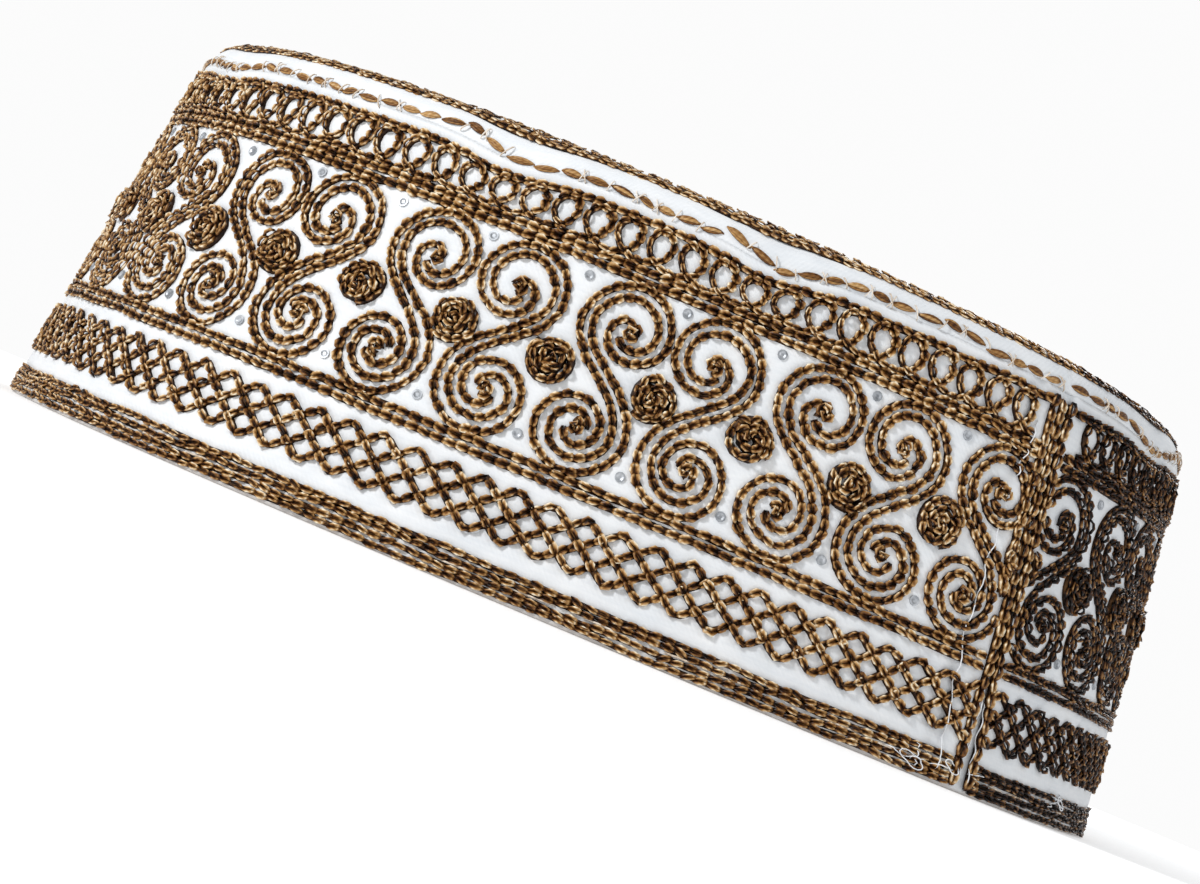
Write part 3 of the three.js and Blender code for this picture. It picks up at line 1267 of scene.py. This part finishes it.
stitched = stitched_places()
stitch_tree = KDTree(len(stitched))
for number, (along, up) in enumerate(stitched):
    stitch_tree.insert((along, up, 0), number)
stitch_tree.balance()


def thread_distance(along, up):
    result = np.zeros(len(along))
    for number, (x, y) in enumerate(zip(from_seam(along), up)):
        result[number] = stitch_tree.find((x, y, 0))[2]
    return result


print("stitched places:", len(stitched))

# %% Wrap the band's cloth
cloth_columns = 704
outer_rows = 94
inner_rows = 20
wall_thickness = 2.0
cloth_foot = 0.12
cloth_head = 62.45
fold_lift = 0.12
puff_depth = 0.22
puff_reach = 0.85
groove_depth = 0.55
groove_half = 1.5
crease_at = -6.6
crease_half = 1.2
crease_sink = 0.35
ripple_waves = 10
outer_ripple = 0.12
inner_ripple = 0.1
row_spacing = 0.67
floor_clear = 0.02
weld_distance = 0.002 * mm


def ripple(along, up, seed):
    waves = np.random.default_rng(seed)
    result = np.zeros_like(np.asarray(along, float))
    for _ in range(ripple_waves):
        round_count = waves.integers(8, 60)
        tall = waves.uniform(-0.12, 0.12)
        phase = waves.uniform(0, 2 * math.pi)
        result += np.sin(along / girth * 2 * math.pi * round_count + up * tall + phase)
    return result / ripple_waves


def band_section():
    column_along = np.arange(cloth_columns) / cloth_columns * girth
    tops = cloth_head - pucker_at(column_along)
    rows = []
    for share in np.linspace(0, 1, outer_rows):
        rows.append((cloth_foot + (tops - cloth_foot) * share, 0.0))
    rows.append((tops + fold_lift, -wall_thickness / 2))
    for share in np.linspace(1, 0, inner_rows):
        rows.append((0.5 + (tops - 0.5) * share, -wall_thickness))
    rows.append((np.full(cloth_columns, 0.15), -wall_thickness / 2))
    up = np.stack([heights for heights, _ in rows], axis=1)
    lift = np.tile([depth for _, depth in rows], (cloth_columns, 1))
    along = np.repeat(column_along[:, None], up.shape[1], axis=1)
    return along, up, lift


def flat_strip(name, columns, rows):
    bpy.ops.mesh.primitive_grid_add(
        x_subdivisions=columns, y_subdivisions=rows, size=1, calc_uvs=False,
    )
    piece = bpy.context.object
    piece.name = name
    piece.data.name = name
    points = np.zeros(len(piece.data.vertices) * 3, np.float32)
    piece.data.vertices.foreach_get("co", points)
    points = points.reshape(-1, 3)
    column = np.rint((points[:, 0] + 0.5) * columns).astype(int)
    row = np.rint((points[:, 1] + 0.5) * rows).astype(int)
    return piece, column, row


def close_strip(piece):
    bpy.ops.object.mode_set(mode="EDIT")
    bpy.ops.mesh.select_all(action="SELECT")
    bpy.ops.mesh.remove_doubles(threshold=weld_distance)
    bpy.ops.object.mode_set(mode="OBJECT")
    bpy.ops.object.shade_smooth()
    print(piece.name, "closed into", len(piece.data.vertices), "points")


def wrap_strip(piece, column, row, along, up, lift, painted_shading):
    spots = on_cap(along, up, lift)
    spots[..., 2] = np.maximum(spots[..., 2], floor_clear)
    columns, rows = spots.shape[:2]
    spots = spots[column % columns, row % rows]
    piece.data.vertices.foreach_set("co", (spots * mm).astype(np.float32).ravel())
    grain = np.stack([column / columns * girth, row * row_spacing], axis=1)
    dress(piece.data, painted_shading[column % columns, row % rows], None, grain)
    piece.data.update()


def wrap_band():
    along, up, lift = band_section()
    rows = up.shape[1]
    piece, column, row = flat_strip("band_cloth", cloth_columns, rows)
    face_along = along[:, :outer_rows]
    face_up = up[:, :outer_rows]
    distance = thread_distance(face_along.ravel(), face_up.ravel()).reshape(face_up.shape)
    near = np.exp(-((distance / puff_reach) ** 2))
    beside = from_seam(face_along)
    groove = groove_depth * np.clip(1 - (beside / groove_half) ** 2, 0, 1)
    crease = crease_sink * np.exp(-(((beside - crease_at) / crease_half) ** 2))
    waves = outer_ripple * ripple(face_along, face_up, 3)
    relief = puff_depth * (0.5 - near) - groove - crease + waves
    lift[:, :outer_rows] += relief * soft_step(face_up / 2.0)
    lift[:, outer_rows:] += inner_ripple * ripple(along[:, outer_rows:], up[:, outer_rows:], 5)
    painted_shading = np.zeros((cloth_columns, rows))
    # painted shade: the cloth is greyed near the stitches and along its foot rows, inside and out
    painted_shading[:, :outer_rows] = soft_step((puff_reach - distance) / 0.7) * 0.55
    painted_shading[:, [0, -1]] = 0.7
    wrap_strip(piece, column, row, along, up, lift, painted_shading)
    corner_points = np.zeros(len(piece.data.loops), np.int32)
    piece.data.loops.foreach_get("vertex_index", corner_points)
    face_rows = row[corner_points].reshape(-1, 4)
    inside = (face_rows.min(axis=1) >= outer_rows) & (face_rows.max(axis=1) < rows)
    return piece, inside


band_cloth, inside_face = wrap_band()
finish_piece(band_cloth, white_sateen, ["band"])
band_cloth.data.materials.append(grey_backing)
band_cloth.data.polygons.foreach_set("material_index", inside_face.astype(np.int32))
close_strip(band_cloth)

# %% [markdown]
# ## The crown's cloth
# The crown is a disc that was gathered a little at its edge. It starts as a sphere of rings and
# spokes: the upper rings become the outside, from the middle out over the shoulder to the seam,
# and the lower ones come back underneath, so its wall is closed.

# %% Shape the crown
crown_spokes = 480
dome_rings = 30
shoulder_rings = 15
under_rings = 19
crown_rings = dome_rings + shoulder_rings + under_rings
shoulder_top = 70.6
crown_seat = 62.42
gather_share = 0.35
gather_start = 0.72
under_edge = 0.9
crease_count = 16
crease_depth = 0.85
crease_widths = (3.5, 8)
crease_lengths = (18, 40)
crease_field = 50
crease_end = 0.85


def dome_point(along, share, sink):
    edge = on_cap(along, np.full_like(along, shoulder_top), np.zeros_like(along))
    spots = edge * share[..., None]
    edge_height = edge[..., 2]
    spots[..., 2] = edge_height + (crown_peak - edge_height) * (1 - share ** 2) - sink
    return spots


def crown_creases(spots):
    folds = np.random.default_rng(19)
    relief = np.zeros(spots.shape[:-1])
    for _ in range(crease_count):
        turn = folds.uniform(0, math.pi)
        middle = folds.uniform(-crease_field, crease_field, 2)
        x = spots[..., 0] - middle[0]
        y = spots[..., 1] - middle[1]
        across = (x * math.cos(turn) + y * math.sin(turn)) / folds.uniform(*crease_widths)
        along = (y * math.cos(turn) - x * math.sin(turn)) / folds.uniform(*crease_lengths)
        relief += folds.uniform(-crease_depth, crease_depth) * np.exp(-across ** 2 - along ** 2)
    return relief


def crown_table():
    along = np.arange(crown_spokes) / crown_spokes * girth
    inner = np.full(crown_spokes, -wall_thickness)
    gather = pucker_at(along)
    seat = crown_seat - gather
    rings = []
    for ring in range(dome_rings + 1):
        share = np.full(crown_spokes, (ring / dome_rings) ** 0.9)
        edge_near = soft_step((share - gather_start) / (1 - gather_start))
        pulled = gather_share * gather * edge_near
        soft = 0.3 * ripple(along, share * 60, 11) * share ** 2 * (1.2 - share)
        spots = dome_point(along, share, pulled + soft)
        fading = soft_step((share - crease_end) / (1 - crease_end))
        spots[:, 2] += crown_creases(spots) * (1 - fading)
        rings.append(spots)
    for step in range(1, shoulder_rings + 1):
        share = step / shoulder_rings
        up = shoulder_top + (seat - shoulder_top) * share
        gathered = gather_share * gather * (1 - share)
        rings.append(on_cap(along, up, 0.1 * ripple(along, up, 13) * (1 - share) - gathered))
    for step in range(1, under_rings + 1):
        share = (under_rings - step) / (under_rings - 1)
        if share > under_edge:
            up = seat + (shoulder_top - seat) * (1 - share) / (1 - under_edge) * 0.9
            rings.append(on_cap(along, up, inner))
        else:
            near = np.full(crown_spokes, share / under_edge * 0.985)
            rings.append(dome_point(along, near, -inner))
    return np.array(rings)


def shape_crown():
    bpy.ops.mesh.primitive_uv_sphere_add(
        segments=crown_spokes, ring_count=crown_rings, radius=1, calc_uvs=False,
    )
    piece = bpy.context.object
    piece.name = "crown_cloth"
    piece.data.name = "crown_cloth"
    points = np.zeros(len(piece.data.vertices) * 3)
    piece.data.vertices.foreach_get("co", points)
    points = points.reshape(-1, 3)
    ring = np.rint(np.arccos(np.clip(points[:, 2], -1, 1)) / math.pi * crown_rings).astype(int)
    spoke = np.rint(np.arctan2(points[:, 1], points[:, 0]) / (2 * math.pi) * crown_spokes)
    spoke = spoke.astype(int) % crown_spokes
    spots = crown_table()[ring, spoke]
    poles = (ring == 0) | (ring == crown_rings)
    spots[poles, :2] = 0
    piece.data.vertices.foreach_set("co", (spots * mm).astype(np.float32).ravel())
    piece.data.update()
    grain = spots[:, :2].copy()
    on_shoulder = (ring > dome_rings) & (ring <= dome_rings + shoulder_rings)
    round_edge = np.stack([spoke / crown_spokes * girth, ring * 0.5], axis=1)
    grain[on_shoulder] = round_edge[on_shoulder]
    dress(piece.data, np.zeros(len(spots)), None, grain)
    return piece, ring


crown_cloth, ring_of_point = shape_crown()
bpy.ops.object.shade_smooth()
finish_piece(crown_cloth, white_sateen, ["crown"])
crown_cloth.data.materials.append(grey_backing)
under_first = dome_rings + shoulder_rings + 1
under_faces = [
    int(min(ring_of_point[i] for i in polygon.vertices) >= under_first)
    for polygon in crown_cloth.data.polygons
]
crown_cloth.data.polygons.foreach_set("material_index", under_faces)
print("crown rings:", crown_rings)

# %% [markdown]
# ## The hem
# The foot of the band is turned up inside and caught down, a soft roll about 5 mm high. It is
# matted with the ends of the under-thread, so its surface is rough with lint.

# %% Roll the hem
hem_columns = 560
lint_height = 0.09
hem_outline = [
    (-2.3, 0.6), (-2.3, 2.0), (-2.3, 3.6), (-2.35, 4.7), (-2.8, 5.35), (-3.4, 5.4),
    (-3.95, 5.0), (-4.15, 4.2), (-4.2, 3.2), (-4.2, 2.2), (-4.1, 1.2), (-3.7, 0.55),
    (-3.1, 0.35), (-2.6, 0.35),
]


def roll_hem():
    rows = len(hem_outline)
    piece, column, row = flat_strip("hem_roll", hem_columns, rows)
    along = np.repeat((np.arange(hem_columns) / hem_columns * girth)[:, None], rows, axis=1)
    up = np.tile([height for _, height in hem_outline], (hem_columns, 1))
    lift = np.tile([depth for depth, _ in hem_outline], (hem_columns, 1))
    lint = dice.normal(0, lint_height, lift.shape)
    lint[:, :4] = 0
    lift = lift + lint - 0.15 * np.abs(ripple(along, up * 4, 17)) * (lift < -2.4)
    wrap_strip(piece, column, row, along, up, lift, np.zeros_like(lift))
    return piece


hem_roll = roll_hem()
finish_piece(hem_roll, hem_felt, ["rim_hem"])
close_strip(hem_roll)

# %% [markdown]
# ## The wrong side of the embroidery
# Inside the cap the same lines show as thick, dull strokes of under-thread. They are swept as
# low ridges of three sides along the same paths, on the inner face of the wall.

# %% Draw the inside strokes
inner_face = -wall_thickness
hem_line_height = 5.6
hem_line_runs = [(straight_row(hem_line_height, 1.2, 0.1), 0.0)]
line_groups = [
    (lower_runs + upper_runs + top_runs, 0.85, 0.4), (hem_line_runs, 0.85, 0.4),
    (scroll_runs, 0.9, 0.45), (eye_runs, 0.8, 0.4), (ring_runs, 0.7, 0.35),
]
lattice_groups = [(lattice_runs, 0.9, 0.35)]
low_ridges("inside_lines", line_groups, under_thread, base=inner_face, way_out=-1, step=1.4)
low_ridges("inside_lattice", lattice_groups, tan_thread, base=inner_face, way_out=-1)

# %% Pad the inside rosettes
patch_sides = 10
patch_radius = 3.5
patch_shoulder = 0.7
patch_rises = (-0.1, 0.5, 0.6)


def patch_faces():
    faces = []
    top = 2 * patch_sides
    for low in range(patch_sides):
        low_next = (low + 1) % patch_sides
        high, high_next = low + patch_sides, low_next + patch_sides
        faces += [(low, high_next, low_next), (low, high, high_next), (high, top, high_next)]
    return np.array(faces)


def inside_patches():
    turn = np.arange(patch_sides) / patch_sides * 2 * math.pi
    rise = np.repeat(patch_rises, (patch_sides, patch_sides, 1))
    # painted highlight: the raised middle of each patch lighter than its rim
    painted_shading = np.repeat([0.0, 0.8], (patch_sides, patch_sides + 1))
    parts = []
    for spot in rosette_spots:
        size = patch_radius * dice.uniform(0.85, 1.08, patch_sides)
        rim = np.stack([np.cos(turn) * size, np.sin(turn) * size], axis=1)
        flat = np.concatenate([rim + spot, rim * patch_shoulder + spot, [spot]])
        spots = on_cap(*settle(flat), inner_face - rise)
        tint = np.full(len(spots), dice.uniform(0.3, 1))
        parts.append((spots, patch_faces(), painted_shading, tint, flat))
    return parts


joined_piece("inside_rosettes", inside_patches(), tan_thread)

# %% [markdown]
# ## Spangles
# A tiny dull silver cup is sewn between each pair of scrolls, above and below. It is modelled
# once, from a short cylinder with its top face inset and pushed down, and then copied.

# %% Model and sew the spangles
spangle_radius = 0.78
spangle_depth = 0.3
spangle_lift = 0.22
spangle_heights = (49.5, 23.7)


def model_spangle():
    bpy.ops.mesh.primitive_cylinder_add(
        vertices=10, radius=spangle_radius, depth=spangle_depth,
    )
    cup = bpy.context.object
    bpy.ops.object.mode_set(mode="EDIT")
    bpy.ops.mesh.select_all(action="DESELECT")
    bpy.ops.object.mode_set(mode="OBJECT")
    for polygon in cup.data.polygons:
        polygon.select = polygon.normal.z > 0.9
    bpy.ops.object.mode_set(mode="EDIT")
    bpy.ops.mesh.inset(thickness=0.22, depth=0)
    bpy.ops.mesh.inset(thickness=0.28, depth=-0.14)
    bpy.ops.mesh.select_all(action="SELECT")
    bpy.ops.mesh.quads_convert_to_tris()
    bpy.ops.object.mode_set(mode="OBJECT")
    points = np.array([vertex.co[:] for vertex in cup.data.vertices])
    faces = np.array([polygon.vertices[:] for polygon in cup.data.polygons])
    bpy.data.objects.remove(cup, do_unlink=True)
    return points, faces


def metal_material():
    material, tree, shader = start_material("dull_silver_spangle", 0.42, metallic=0.85)
    place = add_node(tree, "ShaderNodeTexCoord").outputs["Object"]
    stain = add_node(
        tree, "ShaderNodeTexNoise", {"Scale": 900.0, "Detail": 3.0}, {"Vector": place},
    ).outputs["Fac"]
    silver = add_node(
        tree, "ShaderNodeValToRGB", links={"Fac": stain}, stops=[(0.3, "8d9196"), (0.7, "c9ccd0")],
    ).outputs["Color"]
    tree.links.new(silver, shader.inputs["Base Color"])
    return material


def sew_spangles():
    cup_points, cup_faces = model_spangle()
    points = []
    faces = []
    count = 0
    for number in range(units_round * 2):
        for height in spangle_heights:
            middle = np.array([mirror_line + number * unit / 2, height]) + dice.normal(0, 0.15, 2)
            along, up = settle(cup_points[:, :2] + middle)
            if abs(from_seam(along.mean())) < seam_clear + 0.6:
                continue
            points.append(on_cap(along, up, cup_points[:, 2] + spangle_lift))
            faces.append(cup_faces + count * len(cup_points))
            count += 1
    piece = mesh_piece("spangles", np.concatenate(points), np.concatenate(faces), smooth=False)
    finish_piece(piece, metal_material())
    print("spangles sewn:", count)


sew_spangles()

# %% [markdown]
# ## Floor and light
# The cap stands on a plain pale floor, under broad soft lamps. The world is nearly white, so
# the floor fades into it. A key from the upper left front shapes the stitches, and a weaker
# fill keeps the right side readable.

# %% Lay the floor
floor_size = 1.3
floor_glow = 0.25
bpy.ops.mesh.primitive_plane_add(size=floor_size, location=(0, 0, 0))
floor = bpy.context.object
floor.name = "floor"
floor_paint, floor_tree, floor_shader = start_material("pale_studio_floor", 0.9)
floor_place = add_node(floor_tree, "ShaderNodeTexCoord").outputs["Object"]
floor_mottle = add_node(
    floor_tree, "ShaderNodeTexNoise", {"Scale": 6.0}, {"Vector": floor_place},
).outputs["Fac"]
floor_colour = add_node(
    floor_tree, "ShaderNodeValToRGB", links={"Fac": floor_mottle},
    stops=[(0.3, "f3f3f3"), (0.7, "f8f8f8")],
).outputs["Color"]
floor_tree.links.new(floor_colour, floor_shader.inputs["Base Color"])
floor_shader.inputs["Emission Color"].default_value = (1, 1, 1, 1)
floor_shader.inputs["Emission Strength"].default_value = floor_glow
floor.data.materials.append(floor_paint)

# %% Hang the lamps


def soft_lamp(name, spot, aim, size, watts):
    data = bpy.data.lights.new(name, "AREA")
    data.shape = "DISK"
    data.size = size
    data.energy = watts
    lamp = bpy.data.objects.new(name, data)
    bpy.context.scene.collection.objects.link(lamp)
    lamp.location = spot
    way = Vector(aim) - Vector(spot)
    lamp.rotation_euler = way.to_track_quat("-Z", "Y").to_euler()
    print(name, "lamp:", watts, "W")


soft_lamp("key", (-0.75, -0.70, 0.62), (0, 0, 0.03), 0.2, 8.5)
soft_lamp("fill", (0.95, -0.45, 0.4), (0, 0, 0.03), 0.5, 1.4)
soft_lamp("back", (0.35, 0.9, 0.7), (0, 0, 0.05), 0.5, 4.5)

# %% Light the room
ambient = 0.5
backdrop = 0.97


def studio_world():
    world = bpy.data.worlds.new("studio")
    world.use_nodes = True
    tree = world.node_tree
    soft = tree.nodes["Background"]
    soft.inputs["Color"].default_value = (0.96, 0.98, 1.0, 1)
    soft.inputs["Strength"].default_value = ambient
    plain = add_node(tree, "ShaderNodeBackground", {"Color": (1, 1, 1, 1), "Strength": backdrop})
    seen = add_node(tree, "ShaderNodeLightPath").outputs["Is Camera Ray"]
    links = {0: seen, 1: soft.outputs[0], 2: plain.outputs[0]}
    mixed = add_node(tree, "ShaderNodeMixShader", links=links).outputs[0]
    tree.links.new(mixed, tree.nodes["World Output"].inputs["Surface"])
    return world


bpy.context.scene.world = studio_world()
bpy.context.scene.view_settings.view_transform = "Standard"

# %% Finish
print("finished")
